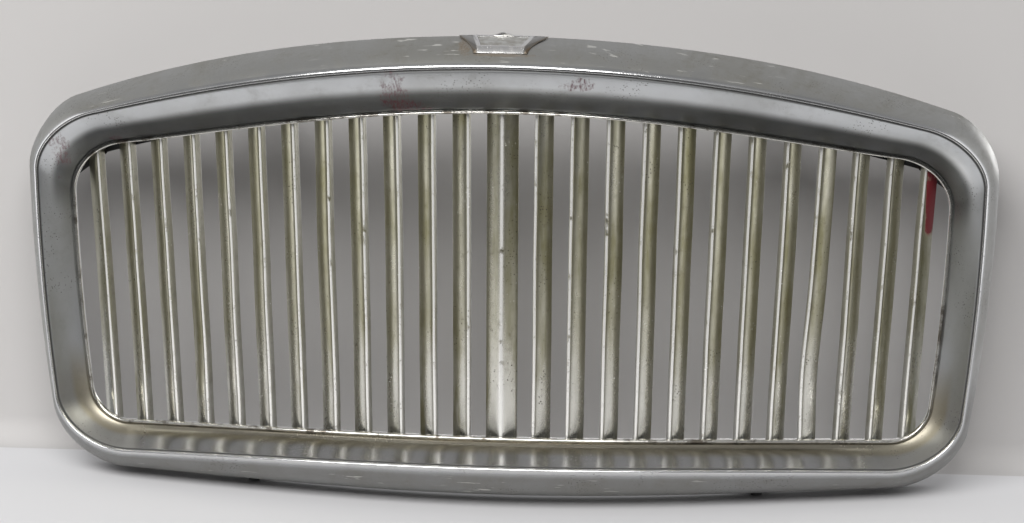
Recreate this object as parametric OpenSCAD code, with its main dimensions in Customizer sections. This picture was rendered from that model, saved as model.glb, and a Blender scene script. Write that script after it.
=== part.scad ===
// Front radiator grille for a 1960s saloon: pressed bright surround, 24 folded vanes,
// a centre bar, two slotted rails, brackets, fasteners and a plain badge plinth.
// Frame: +X right seen from the front, -Y front, +Z up, millimetres.
// Origin: middle of the four mounting holes, on the rear mounting plane.

/* [Bow in plan] */
// Slope the grille tends to at its ends, as a tangent
bow_slope = 0.34; // [0.2:0.01:0.36]
// Distance over which the bow turns from one side to the other
bow_blend = 196; // [150:1:240]
// Depth from the foremost point of the ridge to the mounting plane
set_back = 116; // [116:1:130]

/* [Ridge outline] */
// Height of the ridge at the top centre
ridge_top = 169; // [167:0.5:171]
// Height of the ridge at the bottom centre
ridge_bottom = -112.4; // [-114:0.2:-111]
// Half width of the ridge at mid height
ridge_half_width = 330.3; // [329:0.1:332]
// Fall of the top arch, 300 mm out from the centre
ridge_arch = 54; // [52:0.5:56]
// Fall of the bottom edge, 300 mm out from the centre
ridge_foot_arch = 11.5; // [10:0.5:12]

/* [Opening outline] */
// Height of the opening at the top centre
opening_top = 132; // [131:0.5:133]
// Height of the opening at the bottom centre
opening_bottom = -97.9; // [-99:0.1:-97]
// Half width of the opening at mid height
opening_half_width = 306.9; // [306:0.1:308]
// Depth of the lip behind the ridge
lip_depth = 27; // [25:0.5:28]
// How far the cove swells along the top and hollows along the bottom
cove_roll = 5; // [0:0.5:5.5]

/* [Rim outline] */
// Height of the rear rim at the top centre
rim_top = 183; // [182:0.5:184]
// Height of the rear rim at the bottom centre
rim_bottom = -143.9; // [-145:0.1:-143]
// Half width of the rear rim at mid height
rim_half_width = 341.7; // [341:0.1:343]
// Depth of the outer return behind the ridge
return_depth = 45; // [44:1:50]
// Sheet thickness of the surround
sheet = 1.2; // [1:0.1:1.4]

/* [Vanes] */
// Pitch of the vanes across the grille
vane_pitch = 24; // [23.8:0.05:24.1]
// Distance from the centre line to the inner face of the first vane
first_vane = 21.6; // [21:0.1:22]
// Width of a vane over its outer flank
vane_width = 13; // [12:0.5:14]
// Depth of a vane's inner return
vane_depth = 9.2; // [8.6:0.1:9.2]
// Depth of the vane noses behind the ridge
nose_depth = 31.2; // [31.2:0.1:31.6]
// Outward lean of the vanes per millimetre of height, per millimetre from the centre
vane_fan = 0.000163; // [0.0001:0.000001:0.0002]
// Turn of the knocked ninth vane about its own length, in degrees
knocked_turn = 9; // [0:1:12]
// Half width of the centre bar
bar_half_width = 11; // [10:0.5:12]

/* [Rails] */
// Height of the upper rail strip
upper_rail_height = 14; // [12:1:15]
// Height of the lower rail strip
lower_rail_height = 12; // [10:1:13]
// Thickness of both rail strips
rail_thickness = 1.6; // [1.2:0.1:1.6]

/* [Mounting] */
// Distance between the mounting holes across the grille
hole_spacing_x = 360; // [350:5:370]
// Distance between the mounting holes up the grille
hole_spacing_z = 264; // [262:1:265]
// Radius of the mounting holes
hole_radius = 3.3; // [3.2:0.1:3.5]
// Thickness of the mounting brackets
bracket_sheet = 2; // [1.6:0.2:2.4]

/* [Badge plinth] */
// Front width of the plinth
badge_front = 36; // [34:1:38]
// Rear width of the plinth
badge_rear = 63; // [60:1:66]
// Height of the plinth above the surround
badge_rise = 2.6; // [2:0.2:3]

/* [Hidden] */

clear = 0.2;
hole_x = hole_spacing_x / 2;
hole_z = hole_spacing_z / 2;
arch_reach = 300;
rail_front = nose_depth + vane_depth + 0.1;
rail_rear = rail_front + rail_thickness;
vane_mid_height = 17.6;
vanes_a_side = 12;
knocked_vane = 9;

bright_steel = [0.72, 0.73, 0.73];
vane_metal = [0.68, 0.65, 0.55];
black_paint = [0.08, 0.08, 0.09];
plated = [0.62, 0.6, 0.52];

// outline: top, arch, ease, bottom, foot arch, half width, widening, pinch,
// then the corner reach as a share of the half width and half height, top and bottom
ridge = [ridge_top, ridge_arch, 5.3, ridge_bottom, ridge_foot_arch, ridge_half_width, 7.2, -4.4,
  0.128, 0.26, 0.152, 0.343];
opening = [opening_top, 56.7, 17.4, opening_bottom, 10.2, opening_half_width, 6.2, -2.9,
  0.12, 0.33, 0.082, 0.24];
rim = [rim_top, 51.6, -1.3, rim_bottom, 1.4, rim_half_width, 10.6, -6.7,
  0.102, 0.281, 0.149, 0.325];

function bow(x) = bow_slope * (sqrt(x * x + bow_blend * bow_blend) - bow_blend);
function bow_angle(x) = atan(bow_slope * x / sqrt(x * x + bow_blend * bow_blend));
function at(local, x) = local + bow(x) - set_back;

function outline_point(o, u, v) =
  let(x = u * (o[5] + o[6] * v + o[7] * v * v), q = pow(x / arch_reach, 2), s = (v + 1) / 2)
  [x, (o[3] - o[4] * q) * (1 - s) + (o[0] - o[1] * q + o[2] * q * q) * s];

steps_top = 16;
steps_corner = 11;
steps_side = 8;
steps_bottom = 12;

function half_path(o) = concat(
  [for (i = [0 : steps_top - 1]) [(1 - o[8]) * i / steps_top, 1]],
  [for (i = [0 : steps_corner - 1]) let(a = 90 * i / steps_corner)
    [1 - o[8] + o[8] * sin(a), 1 - o[9] + o[9] * cos(a)]],
  [for (i = [0 : steps_side - 1]) [1, 1 - o[9] - (2 - o[9] - o[11]) * i / steps_side]],
  [for (i = [0 : steps_corner - 1]) let(a = 90 * i / steps_corner)
    [1 - o[10] + o[10] * cos(a), o[11] - 1 - o[11] * sin(a)]],
  [for (i = [0 : steps_bottom]) [(1 - o[10]) * (1 - i / steps_bottom), -1]]);

function loop_of(o) =
  let(h = half_path(o), n = len(h))
  concat([for (p = h) outline_point(o, p[0], p[1])],
    [for (i = [n - 2 : -1 : 1]) outline_point(o, -h[i][0], h[i][1])]);

// profile entries: kind (0 return, 1 cove, 2 lip), position along it, inward step, depth
lip_width = 2.8;
mid_height = (ridge_top + ridge_bottom) / 2;
half_height = (ridge_top - ridge_bottom) / 2;
function slope(g) = lip_depth * g;
function roll(g, z) = cove_roll * 4 * g * (1 - g) * (mid_height - z) / half_height;
cove_steps = [0.04, 0.1, 0.18, 0.28, 0.4, 0.53, 0.66, 0.79, 0.9];
profile = concat(
  [[0, 1, 0, return_depth], [0, 0.9, 0, 30], [0, 0.78, 0, 20], [0, 0.66, 0, 14], [0, 0.48, 0, 8],
    [0, 0.3, 0, 4], [0, 0.15, 0, 1.5], [0, 0.05, 0, 0.4], [0, 0, 0, 0]],
  [for (g = cove_steps) [1, g, 0, slope(g)]],
  [[1, 1, 0, lip_depth + 1.4], [2, 0.8, 0, lip_depth + 0.2], [2, 0.52, 0, lip_depth - 0.2],
    [2, 0.2, 0, lip_depth + 0.1], [2, 0, 0, lip_depth + 1], [2, 0, 0, lip_depth + 3.5],
    [2, 0.4, 0, lip_depth + 3.5], [1, 1, 0, lip_depth + 2.9]],
  [for (i = [len(cove_steps) - 1 : -1 : 1]) [1, cove_steps[i], 0, slope(cove_steps[i]) + 1.5 * sheet]],
  [[0, 0.02, 0, 2.6], [0, 0.3, sheet, 4.9], [0, 0.48, sheet, 8.6], [0, 0.66, sheet, 14.3],
    [0, 0.78, sheet, 20.1], [0, 0.9, sheet, 30], [0, 1, sheet, return_depth]]);

function shell_point(e, l, r, s) =
  let(out = (s - l) / norm(s - l), foot = l + out * lip_width,
    p = e[0] == 0 ? r + (s - r) * e[1] - out * e[2]
      : e[0] == 1 ? r + (foot - r) * e[1] : l + out * lip_width * e[1],
    rolled = e[0] == 1 ? roll(e[1], r[1]) : 0)
  [p[0], at(e[3] + rolled, p[0]), p[1]];

module swept_shell() {
  lips = loop_of(opening);
  ridges = loop_of(ridge);
  rims = loop_of(rim);
  n = len(ridges);
  m = len(profile);
  points = [for (i = [0 : n - 1]) for (j = [0 : m - 1])
    shell_point(profile[j], lips[i], ridges[i], rims[i])];
  faces = [for (i = [0 : n - 1]) for (j = [0 : m - 1])
    let(a = i * m + j, b = i * m + (j + 1) % m, c = ((i + 1) % n) * m + (j + 1) % m,
      d = ((i + 1) % n) * m + j) each [[a, b, c], [a, c, d]]];
  polyhedron(points = points, faces = faces, convexity = 12);
}

// heights of the rail centre lines
function upper_line(x) = 140 - 50 * pow(x / arch_reach, 2);
function lower_line(x) = -110 - 10 * pow(x / arch_reach, 2);

// how far the return has flared from ridge to rim at a depth
function flare(d) = lookup(d, [[0, 0], [4, 0.3], [8, 0.48], [14, 0.66], [20, 0.78], [30, 0.9],
  [return_depth, 1]]);
function floor_of(d, x) =
  let(q = pow(x / arch_reach, 2), r = ridge[3] - ridge[4] * q, s = rim[3] - rim[4] * q)
  r + (s - r) * flare(d);
function roof_of(d, x) =
  let(q = pow(x / arch_reach, 2), r = ridge[0] - ridge[1] * q + ridge[2] * q * q,
    s = rim[0] - rim[1] * q + rim[2] * q * q)
  r + (s - r) * flare(d);
floor_slope = atan((floor_of(30, hole_x) - floor_of(return_depth, hole_x)) / (return_depth - 30));
roof_slope = atan((roof_of(return_depth, 0) - roof_of(30, 0)) / (return_depth - 30));

// ---- frames shared by parts that meet ----
module on_bow(x, depth, z) {
  translate([x, at(depth, x), z])
    rotate([0, 0, bow_angle(x)])
      children();
}

module both_sides() {
  children();
  mirror([1, 0, 0])
    children();
}

function vane_x(i) = first_vane + (i - 1) * vane_pitch;
function vane_lean(i) = atan(vane_fan * vane_x(i) / cos(bow_angle(vane_x(i))));
function vane_top(i) = (upper_line(vane_x(i) * 1.02) - vane_mid_height) / cos(vane_lean(i));
function vane_foot(i) = (lower_line(vane_x(i) * 0.98) - vane_mid_height) / cos(vane_lean(i));

module on_vane(i) {
  on_bow(vane_x(i), rail_front - 0.1, vane_mid_height)
    rotate([0, vane_lean(i), 0])
      children();
}

// ---- surround ----
screw_depth = 38;
stud_x = 10;
stud_depth = 30;
end_screw_depth = 37;
end_upper_z = 62;
end_lower_x = 262;

module at_lower_screw() {
  both_sides()
    on_bow(hole_x, screw_depth, floor_of(screw_depth, hole_x))
      rotate([-floor_slope, 0, 0])
        children();
}

module at_stud() {
  both_sides()
    translate([stud_x, at(stud_depth, stud_x), roof_of(stud_depth, stud_x)])
      rotate([roof_slope, 0, 0])
        children();
}

function side_wall(d) =
  let(v = (end_upper_z - vane_mid_height) / 128 * 0.86,
    r = ridge[5] + ridge[6] * v + ridge[7] * v * v, s = rim[5] + rim[6] * v + rim[7] * v * v)
  r + (s - r) * flare(d);

module at_side_rivet() {
  both_sides()
    for (dz = [-4, 4])
      translate([side_wall(end_screw_depth), at(end_screw_depth, side_wall(end_screw_depth)),
          end_upper_z + dz])
        rotate([0, -90, 0])
          children();
}

module at_floor_rivet() {
  both_sides()
    for (dx = [-4, 4])
      on_bow(end_lower_x + dx, end_screw_depth, floor_of(end_screw_depth, end_lower_x + dx))
        rotate([-floor_slope, 0, 0])
          children();
}

screw_radius = 2.5;
rivet_radius = 1.5;
stud_radius = 1.5;

module surround_shell() {
  color(bright_steel)
    difference() {
      swept_shell();
      at_lower_screw()
        translate([0, 0, -3])
          cylinder(h = 8, r = screw_radius + clear, $fn = 32);
      at_stud()
        translate([0, 0, -5])
          cylinder(h = 8, r = stud_radius + clear, $fn = 24);
      at_side_rivet()
        translate([0, 0, -3])
          cylinder(h = 7, r = rivet_radius + 0.1, $fn = 24);
      at_floor_rivet()
        translate([0, 0, -3])
          cylinder(h = 7, r = rivet_radius + 0.1, $fn = 24);
    }
}

// ---- vanes ----
vane_sheet = 0.9;
tab_height = 8;
flank_fall = 8;

// nose at the front, inner return straight back, outer flank falling away
vane_section = [[0, 0], [0, -7.8], [0.1, -8.5], [0.45, -9], [1.1, -vane_depth], [1.9, -9],
  [4, -7.9], [7, -6.1], [10, -3.8], [vane_width, -vane_depth + flank_fall],
  [vane_width - 0.7, -vane_depth + flank_fall + 0.6], [9.3, -3.1], [6.4, -5.4], [3.6, -7], [1.7, -8],
  [1.1, -8.1], [vane_sheet, -7.7], [vane_sheet, 0]];

module vane_body(i, turn) {
  over_top = 6;
  over_foot = 5;
  translate([0, 0, vane_foot(i) - over_foot])
    rotate([0, 0, turn])
      linear_extrude(height = vane_top(i) - vane_foot(i) + over_top + over_foot)
        polygon(vane_section);
}

module vane_tabs(i, grow) {
  for (z = [vane_top(i), vane_foot(i)])
    translate([-grow, -0.5, z - tab_height / 2 - grow])
      cube([vane_sheet + 2 * grow, rail_thickness + 2.6, tab_height + 2 * grow]);
}

module vane(i, turn = 0) {
  color(vane_metal)
    on_vane(i) {
      vane_body(i, turn);
      vane_tabs(i, 0);
    }
}

module vane_right(i) {
  vane(i, i == knocked_vane ? -knocked_turn : 0);
}

module vane_left(i) {
  mirror([1, 0, 0])
    vane(i);
}

bar_fall = 6.6;
bar_section = concat(
  [[-bar_half_width, 0], [-bar_half_width, -2.2], [-10.4, -2.9], [-6, -5.9], [-2, -8.6], [-0.7, -9.1],
    [0, -vane_depth], [0.7, -9.1], [2, -8.6], [6, -5.9], [10.4, -2.9], [bar_half_width, -2.2],
    [bar_half_width, 0]],
  [[bar_half_width - 0.9, 0], [bar_half_width - 0.9, -1.9], [6, -4.9], [2, -7.6], [0, -8.2],
    [-2, -7.6], [-6, -4.9], [0.9 - bar_half_width, -1.9], [0.9 - bar_half_width, 0]]);
plate_height = 12;
plate_sheet = 1.2;

module centre_bar() {
  foot = lower_line(0) - 5;
  top = upper_line(0) + 6;
  color(vane_metal)
    translate([0, at(rail_front - 0.1, 0), 0])
      difference() {
        union() {
          translate([0, 0, foot])
            linear_extrude(height = top - foot)
              polygon(bar_section);
          for (z = [upper_line(0), lower_line(0)])
            translate([-bar_half_width + 0.5, -plate_sheet, z - 5])
              cube([2 * bar_half_width - 1, plate_sheet, plate_height - 2]);
        }
        for (z = [upper_line(0), lower_line(0)])
          translate([0, 1, z])
            rotate([90, 0, 0])
              cylinder(h = 4, r = 1.7, $fn = 24);
      }
}

// ---- rails ----
band_steps = 28;

module plan_band(reach, front, rear) {
  xs = [for (i = [0 : band_steps]) reach * (2 * i / band_steps - 1)];
  translate([0, 0, -200])
    linear_extrude(height = 400)
      polygon(concat([for (x = xs) [x, at(front, x)]],
        [for (i = [band_steps : -1 : 0]) [xs[i], at(rear, xs[i])]]));
}

module arch_band(reach, tall, upper) {
  xs = [for (i = [0 : band_steps]) reach * (2 * i / band_steps - 1)];
  heights = [for (x = xs) upper ? upper_line(x) : lower_line(x)];
  translate([0, 40, 0])
    rotate([90, 0, 0])
      linear_extrude(height = 200)
        polygon(concat([for (i = [0 : band_steps]) [xs[i], heights[i] + tall / 2]],
          [for (i = [band_steps : -1 : 0]) [xs[i], heights[i] - tall / 2]]));
}

upper_reach = 306;
lower_reach = 296;

module slots() {
  for (side = [0, 1])
    mirror([side, 0, 0])
      for (i = [1 : vanes_a_side])
        on_vane(i)
          vane_tabs(i, 0.25);
}

module rail(reach, tall, upper) {
  color(black_paint)
    difference() {
      intersection() {
        plan_band(reach, rail_front, rail_rear);
        arch_band(reach, tall, upper);
      }
      slots();
      translate([0, at(rail_rear + 2, 0), upper ? upper_line(0) : lower_line(0)])
        rotate([90, 0, 0])
          cylinder(h = 6, r = 2.2, $fn = 24);
      at_rail_rivet(upper)
        translate([0, 0, -5])
          cylinder(h = 10, r = rivet_radius + 0.1, $fn = 24);
      if (upper)
        at_bracket_rivet()
          translate([0, 0, -5])
            cylinder(h = 10, r = rivet_radius + 0.1, $fn = 24);
    }
}

module upper_rail() {
  rail(upper_reach, upper_rail_height, true);
}

module lower_rail() {
  rail(lower_reach, lower_rail_height, false);
}

// ---- end brackets ----
end_sheet = 1.5;
upper_tie_x = 297;

// +Z of these frames points out of the rail's rear face
module at_rail_rivet(upper) {
  x = upper ? upper_tie_x : end_lower_x;
  both_sides()
    for (dx = [-4, 4])
      on_bow(x + dx, rail_rear, upper ? upper_line(x + dx) : lower_line(x + dx))
        rotate([-90, 0, 0])
          children();
}

module end_bracket_upper() {
  wall_front = side_wall(30) - sheet - 0.15;
  wall_rear = side_wall(return_depth) - sheet - 0.15;
  y_front = at(31, wall_front);
  plate_front = rail_rear + 0.1;
  tie = upper_line(upper_tie_x);
  plate_reach = wall_rear - 0.4;
  steps = 6;
  xs = [for (i = [0 : steps]) 288 + (plate_reach - 288) * i / steps];
  color(black_paint)
    difference() {
      union() {
        intersection() {
          linear_extrude(height = 120)
            polygon(concat([for (x = xs) [x, at(plate_front, x)]],
              [for (i = [steps : -1 : 0]) [xs[i], at(plate_front + end_sheet, xs[i])]]));
          translate([0, 40, 0])
            rotate([90, 0, 0])
              linear_extrude(height = 200)
                polygon([[288, tie - 5], [288, tie + 6], [306, tie + 4], [plate_reach, end_upper_z + 8],
                  [plate_reach, end_upper_z - 8], [330, end_upper_z - 8]]);
        }
        translate([0, 0, end_upper_z - 8])
          linear_extrude(height = 16)
            polygon([[wall_front - end_sheet, y_front], [wall_front, y_front],
              [wall_rear, at(plate_front + end_sheet, wall_rear)],
              [wall_rear - end_sheet, at(plate_front + end_sheet, wall_rear)]]);
      }
      at_rail_rivet(true)
        translate([0, 0, -2])
          cylinder(h = 6, r = rivet_radius + 0.1, $fn = 24);
      at_side_rivet()
        translate([0, 0, -2])
          cylinder(h = 8, r = rivet_radius + 0.1, $fn = 24);
    }
}

module end_bracket_lower() {
  drop = floor_of(rail_rear, end_lower_x) + sheet + 0.3;
  color(black_paint)
    difference() {
      union() {
        on_bow(end_lower_x, rail_rear + 0.1, 0)
          translate([-9, 0, drop])
            cube([18, end_sheet, lower_line(end_lower_x) + 4 - drop]);
        on_bow(end_lower_x, end_screw_depth, floor_of(end_screw_depth, end_lower_x))
          rotate([-floor_slope, 0, 0])
            translate([-9, -6, sheet + 0.25])
              cube([18, 12.4, end_sheet]);
      }
      at_rail_rivet(false)
        translate([0, 0, -2])
          cylinder(h = 6, r = rivet_radius + 0.1, $fn = 24);
      at_floor_rivet()
        translate([0, 0, -2])
          cylinder(h = 8, r = rivet_radius + 0.1, $fn = 24);
    }
}

// ---- mounting brackets ----
bracket_half = 12;
strap_z = 116;

module at_bracket_rivet() {
  both_sides()
    for (dx = [-6, 6])
      on_bow(hole_x + dx, rail_rear, upper_line(hole_x + dx) - 0.5)
        rotate([-90, 0, 0])
          children();
}

module mounting_hole(z) {
  translate([hole_x, 1, z])
    rotate([90, 0, 0])
      cylinder(h = bracket_sheet + 2, r = hole_radius, $fn = 48);
}

module mount_bracket_upper() {
  strap_front = at(rail_rear + 0.6, hole_x);
  color(black_paint)
    difference() {
      union() {
        on_bow(hole_x, rail_rear + 0.1, strap_z)
          translate([-bracket_half, 0, 0])
            cube([2 * bracket_half, bracket_sheet, 12]);
        translate([0, 0, strap_z])
          linear_extrude(height = bracket_sheet)
            polygon([[hole_x - bracket_half * cos(bow_angle(hole_x)),
                strap_front - bracket_half * sin(bow_angle(hole_x))],
              [hole_x + bracket_half * cos(bow_angle(hole_x)),
                strap_front + bracket_half * sin(bow_angle(hole_x))],
              [hole_x + bracket_half, -0.5], [hole_x - bracket_half, -0.5]]);
        translate([hole_x - bracket_half, -bracket_sheet, strap_z])
          cube([2 * bracket_half, bracket_sheet, hole_z + 12 - strap_z]);
      }
      mounting_hole(hole_z);
      at_bracket_rivet()
        translate([0, 0, -2])
          cylinder(h = 6, r = rivet_radius + 0.1, $fn = 24);
    }
}

module mount_bracket_lower() {
  foot_z = floor_of(return_depth, hole_x) + sheet + 1.2;
  color(black_paint)
    difference() {
      union() {
        on_bow(hole_x, screw_depth, floor_of(screw_depth, hole_x))
          rotate([-floor_slope, 0, 0])
            translate([-bracket_half, -8, sheet + 0.25])
              cube([2 * bracket_half, 17, bracket_sheet]);
        translate([hole_x - bracket_half, at(return_depth - 2, hole_x), foot_z])
          cube([2 * bracket_half, -at(return_depth - 2, hole_x), bracket_sheet]);
        translate([hole_x - bracket_half, -bracket_sheet, foot_z])
          cube([2 * bracket_half, bracket_sheet, 8 - hole_z - foot_z]);
      }
      mounting_hole(-hole_z);
      at_lower_screw()
        translate([0, 0, -2])
          cylinder(h = 10, r = screw_radius + clear, $fn = 32);
    }
}

// ---- badge plinth ----
plinth_front = 10;
plinth_rear = 44;
face_front = 13;
face_front_z = 181.2;
face_rear_z = 184;
face_slope = atan((face_rear_z - face_front_z) / (plinth_rear - face_front));

module on_plinth_face() {
  translate([0, at(face_front, 0), face_front_z])
    rotate([face_slope, 0, 0])
      children();
}

module plinth_blank() {
  hull() {
    translate([0, 0, roof_of(plinth_front, 0) + 0.1])
      linear_extrude(height = 0.4)
        polygon([[-badge_front / 2, at(plinth_front, 0)], [badge_front / 2, at(plinth_front, 0)],
          [badge_rear / 2, at(plinth_rear, 0)], [-badge_rear / 2, at(plinth_rear, 0)]]);
    translate([0, at(plinth_rear - 1, 0), roof_of(plinth_rear, 0)])
      translate([-badge_rear / 2 + 1, 0, 0])
        cube([badge_rear - 2, 1, 0.5]);
    on_plinth_face()
      translate([0, 0, -1])
        linear_extrude(height = 1)
          polygon([[-15.5, 0], [15.5, 0], [21, plinth_rear - face_front - 1],
            [3, plinth_rear - face_front], [-3, plinth_rear - face_front],
            [-21, plinth_rear - face_front - 1]]);
  }
  on_plinth_face()
    translate([0, plinth_rear - face_front - 0.2, -0.5])
      rotate([90, 0, 0])
        linear_extrude(height = 2)
          polygon([[-8, 0], [8, 0], [1.5, badge_rise], [-1.5, badge_rise]]);
}

module badge_plinth() {
  depths = [0, 4, 8, 14, 20, 30, return_depth];
  color(plated)
    difference() {
      union() {
        difference() {
          plinth_blank();
          translate([-40, 0, 0])
            rotate([90, 0, 90])
              linear_extrude(height = 80)
                polygon(concat([for (d = depths) [at(d, 0), roof_of(d, 0) + 0.1]],
                  [[at(return_depth + 10, 0), roof_of(return_depth, 0) + 0.2],
                  [at(return_depth + 10, 0), 140], [at(0, 0), 140]]));
        }
        at_stud()
          translate([0, 0, -7])
            cylinder(h = 8, r = stud_radius, $fn = 24);
      }
      on_plinth_face()
        translate([0, 0, -0.9])
          linear_extrude(height = 3)
            polygon([[-13.5, 2], [13.5, 2], [18, plinth_rear - face_front - 3],
              [-18, plinth_rear - face_front - 3]]);
    }
}

module badge_panel() {
  color([0.5, 0.5, 0.5])
    on_plinth_face()
      translate([0, 0, -0.85])
        linear_extrude(height = 0.5)
          polygon([[-13.2, 2.3], [13.2, 2.3], [17.6, plinth_rear - face_front - 3.3],
            [-17.6, plinth_rear - face_front - 3.3]]);
}

module badge_push_nuts() {
  color(plated)
    at_stud()
      translate([0, 0, -sheet - 1.1])
        difference() {
          cylinder(h = 0.8, r = 4.5, $fn = 32);
          translate([0, 0, -1])
            cylinder(h = 3, r = stud_radius + 0.05, $fn = 24);
        }
}

// ---- fasteners ----
module rivet(grip) {
  translate([0, 0, -grip])
    cylinder(h = grip, r = rivet_radius, $fn = 24);
  cylinder(h = 1, r = 2.8, $fn = 24);
  translate([0, 0, -grip - 1])
    cylinder(h = 1, r = 2.8, $fn = 24);
}

module rail_rivets() {
  grip = rail_thickness + end_sheet + 0.2;
  color(plated)
    for (upper = [true, false])
      at_rail_rivet(upper)
        translate([0, 0, end_sheet + 0.15])
          rivet(grip);
}

module end_rivets() {
  grip = sheet + end_sheet + 0.5;
  color(plated) {
    at_side_rivet()
      translate([0, 0, grip - 0.15])
        rivet(grip);
    at_floor_rivet()
      translate([0, 0, grip - 0.15])
        rivet(grip);
  }
}

module upper_bracket_rivets() {
  color(plated)
    at_bracket_rivet()
      translate([0, 0, bracket_sheet + 0.15])
        rivet(rail_thickness + bracket_sheet + 0.2);
}

module lower_bracket_screws() {
  color(black_paint)
    at_lower_screw() {
      translate([0, 0, -2.3])
        cylinder(h = 2.2, r = 4, $fn = 32);
      translate([0, 0, -1])
        cylinder(h = 10.5, r = screw_radius, $fn = 32);
    }
}

washer_base = sheet + 0.3 + bracket_sheet;

module lower_bracket_washers() {
  color(plated)
    at_lower_screw()
      translate([0, 0, washer_base])
        difference() {
          cylinder(h = 1, r = 5, $fn = 32);
          translate([0, 0, -1])
            cylinder(h = 3, r = screw_radius + 0.1, $fn = 32);
        }
}

module lower_bracket_nuts() {
  color(plated)
    at_lower_screw()
      translate([0, 0, washer_base + 1.05])
        difference() {
          cylinder(h = 3.6, r = 4.6, $fn = 6);
          translate([0, 0, -1])
            cylinder(h = 6, r = screw_radius + 0.05, $fn = 32);
        }
}

module centre_bar_screws() {
  color(plated)
    for (z = [upper_line(0), lower_line(0)])
      translate([0, at(rail_rear, 0), z])
        rotate([90, 0, 0]) {
          translate([0, 0, -2.3])
            cylinder(h = 2.2, r = 3.6, $fn = 32);
          translate([0, 0, -1])
            cylinder(h = rail_thickness + 4, r = 1.65, $fn = 24);
        }
}

module mirrored() {
  mirror([1, 0, 0])
    children();
}

surround_shell();
centre_bar();
upper_rail();
lower_rail();
vane_left(1);  // vane_left_01
vane_left(2);  // vane_left_02
vane_left(3);  // vane_left_03
vane_left(4);  // vane_left_04
vane_left(5);  // vane_left_05
vane_left(6);  // vane_left_06
vane_left(7);  // vane_left_07
vane_left(8);  // vane_left_08
vane_left(9);  // vane_left_09
vane_left(10);  // vane_left_10
vane_left(11);  // vane_left_11
vane_left(12);  // vane_left_12
vane_right(1);  // vane_right_01
vane_right(2);  // vane_right_02
vane_right(3);  // vane_right_03
vane_right(4);  // vane_right_04
vane_right(5);  // vane_right_05
vane_right(6);  // vane_right_06
vane_right(7);  // vane_right_07
vane_right(8);  // vane_right_08
vane_right(9);  // vane_right_09
vane_right(10);  // vane_right_10
vane_right(11);  // vane_right_11
vane_right(12);  // vane_right_12
mirrored() end_bracket_upper();  // end_bracket_upper_left
end_bracket_upper();  // end_bracket_upper_right
mirrored() end_bracket_lower();  // end_bracket_lower_left
end_bracket_lower();  // end_bracket_lower_right
mirrored() mount_bracket_upper();  // mount_bracket_upper_left
mount_bracket_upper();  // mount_bracket_upper_right
mirrored() mount_bracket_lower();  // mount_bracket_lower_left
mount_bracket_lower();  // mount_bracket_lower_right
badge_plinth();
badge_panel();
badge_push_nuts();
centre_bar_screws();
rail_rivets();
end_rivets();
upper_bracket_rivets();
lower_bracket_screws();
lower_bracket_washers();
lower_bracket_nuts();
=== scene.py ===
"""Looks of a 1960s saloon's front radiator grille: bright pressed surround, folded vanes, badge plinth."""

import math

import bmesh
import bpy
import numpy as np
from mathutils import Matrix, Vector


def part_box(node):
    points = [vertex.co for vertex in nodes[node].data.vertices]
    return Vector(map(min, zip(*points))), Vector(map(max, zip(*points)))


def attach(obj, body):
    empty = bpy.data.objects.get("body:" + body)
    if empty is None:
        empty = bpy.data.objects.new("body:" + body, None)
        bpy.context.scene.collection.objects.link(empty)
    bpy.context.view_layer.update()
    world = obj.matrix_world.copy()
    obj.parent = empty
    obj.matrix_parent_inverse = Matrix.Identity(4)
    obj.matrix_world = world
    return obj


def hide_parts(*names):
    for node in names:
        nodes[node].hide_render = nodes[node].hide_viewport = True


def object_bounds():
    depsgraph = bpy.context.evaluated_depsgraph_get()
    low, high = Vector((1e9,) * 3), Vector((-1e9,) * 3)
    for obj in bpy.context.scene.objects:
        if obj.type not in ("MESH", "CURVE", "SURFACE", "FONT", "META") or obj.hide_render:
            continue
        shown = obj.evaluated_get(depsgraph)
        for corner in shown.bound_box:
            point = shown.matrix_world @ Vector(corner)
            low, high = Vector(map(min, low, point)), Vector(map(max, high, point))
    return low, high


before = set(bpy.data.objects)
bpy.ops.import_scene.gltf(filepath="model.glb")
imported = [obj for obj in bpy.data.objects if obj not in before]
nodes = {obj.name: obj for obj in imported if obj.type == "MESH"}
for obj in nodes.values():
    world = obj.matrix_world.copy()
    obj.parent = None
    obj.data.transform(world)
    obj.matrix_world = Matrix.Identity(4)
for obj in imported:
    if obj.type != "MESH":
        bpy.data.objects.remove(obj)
cad_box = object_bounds()

MM = 0.001


# ---------------------------------------------------------------- node trees written as expressions
class Value:
    """A socket of a node tree. Maths on it adds Math nodes."""

    def __init__(self, tree, socket):
        self.tree = tree
        self.socket = socket

    def other(self, name):
        """Another output of the same node."""
        return Value(self.tree, self.socket.node.outputs[name])

    def math(self, operation, *values):
        return self.tree.math(operation, self, *values)

    def __add__(self, value):
        return self.math("ADD", value)

    def __radd__(self, value):
        return self.math("ADD", value)

    def __sub__(self, value):
        return self.math("SUBTRACT", value)

    def __rsub__(self, value):
        return self.tree.math("SUBTRACT", value, self)

    def __mul__(self, value):
        return self.math("MULTIPLY", value)

    def __rmul__(self, value):
        return self.math("MULTIPLY", value)

    def __truediv__(self, value):
        return self.math("DIVIDE", value)

    def __rtruediv__(self, value):
        return self.tree.math("DIVIDE", value, self)

    def __neg__(self):
        return self.math("MULTIPLY", -1.0)


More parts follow.
